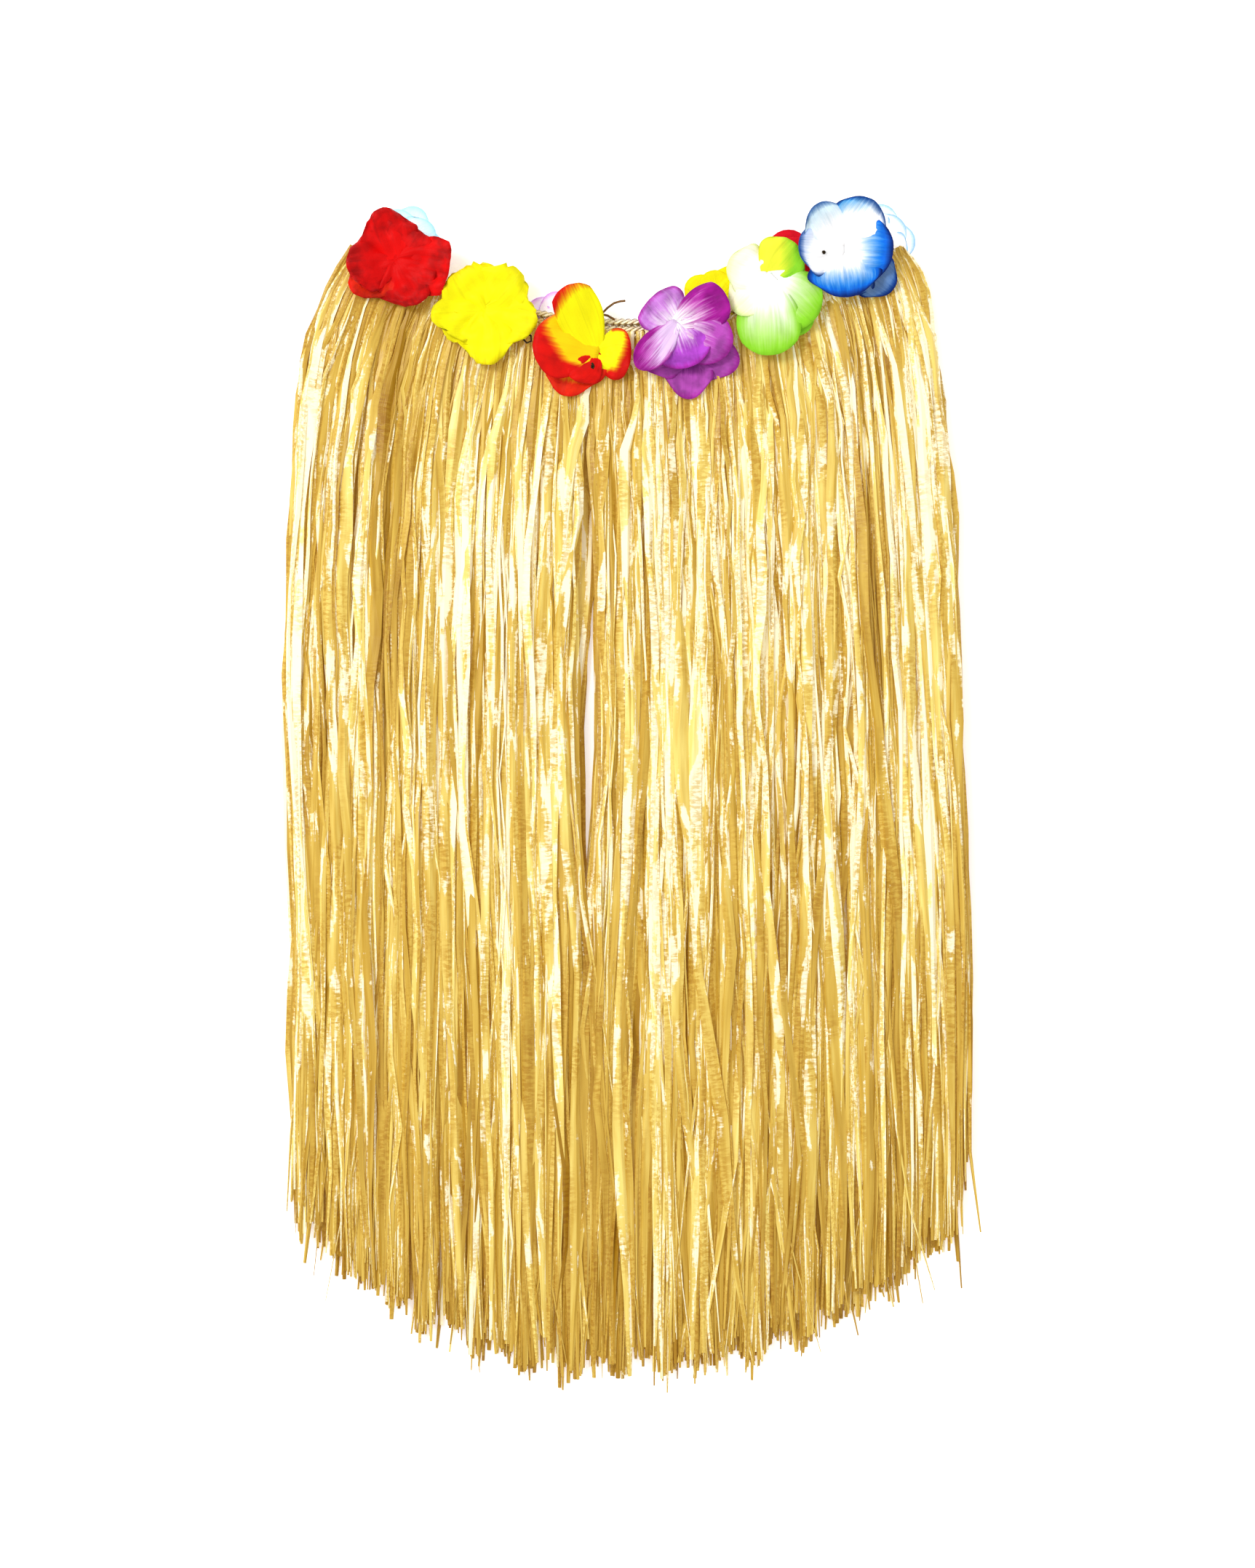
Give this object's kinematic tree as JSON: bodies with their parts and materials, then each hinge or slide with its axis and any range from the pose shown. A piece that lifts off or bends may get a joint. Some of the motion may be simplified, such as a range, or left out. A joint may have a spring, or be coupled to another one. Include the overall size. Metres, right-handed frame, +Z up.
{
  "type": "grass skirt",
  "caption": "Grass skirt of glossy straw-coloured raffia strands on a knotted waist heading, trimmed with cloth flowers, laid flat to wear or display.",
  "frame": {"origin": "middle of the underside, on the surface that the skirt lies on", "axes": "+Z up from the surface, +Y from the hem to the waist, +X to the right of someone who looks at the front"},
  "size_m": [0.5364, 0.9122, 0.0365],
  "materials": {
    "raffia": "crinkled plastic raffia strips, glossy, straw-coloured",
    "raffia_knots": "raffia knotted and twisted along a string, satin",
    "petals_red": "woven polyester, dyed red",
    "petals_yellow": "woven polyester, dyed yellow",
    "petals_sunset": "woven polyester, dyed red and yellow in one petal",
    "petals_purple": "woven polyester, dyed purple, paler at the middle",
    "petals_green": "woven polyester, dyed green at the rim, white at the middle",
    "petals_blue": "woven polyester, dyed blue at the rim, white at the middle",
    "petals_back_sky": "woven polyester, dyed pale blue",
    "petals_back_violet": "woven polyester, dyed violet",
    "petals_back_gold": "woven polyester, dyed yellow",
    "petals_back_scarlet": "woven polyester, dyed red",
    "petals_back_azure": "woven polyester, dyed pale blue"
  },
  "bodies": {
    "root": {"grass_front_left": "raffia", "grass_front_right": "raffia", "grass_back_left": "raffia", "grass_back_right": "raffia", "heading_front": "raffia_knots", "heading_back": "raffia_knots", "heading_fold_left": "raffia_knots", "heading_fold_right": "raffia_knots", "flower_red_lower": "petals_red", "flower_red_upper": "petals_red", "flower_yellow_lower": "petals_yellow", "flower_yellow_upper": "petals_yellow", "flower_sunset_lower": "petals_sunset", "flower_sunset_upper": "petals_sunset", "flower_purple_lower": "petals_purple", "flower_purple_upper": "petals_purple", "flower_green_lower": "petals_green", "flower_green_upper": "petals_green", "flower_blue_lower": "petals_blue", "flower_blue_upper": "petals_blue", "flower_back_sky_lower": "petals_back_sky", "flower_back_sky_upper": "petals_back_sky", "flower_back_violet_lower": "petals_back_violet", "flower_back_violet_upper": "petals_back_violet", "flower_back_gold_lower": "petals_back_gold", "flower_back_gold_upper": "petals_back_gold", "flower_back_scarlet_lower": "petals_back_scarlet", "flower_back_scarlet_upper": "petals_back_scarlet", "flower_back_azure_lower": "petals_back_azure", "flower_back_azure_upper": "petals_back_azure"}
  },
  "joints": []
}
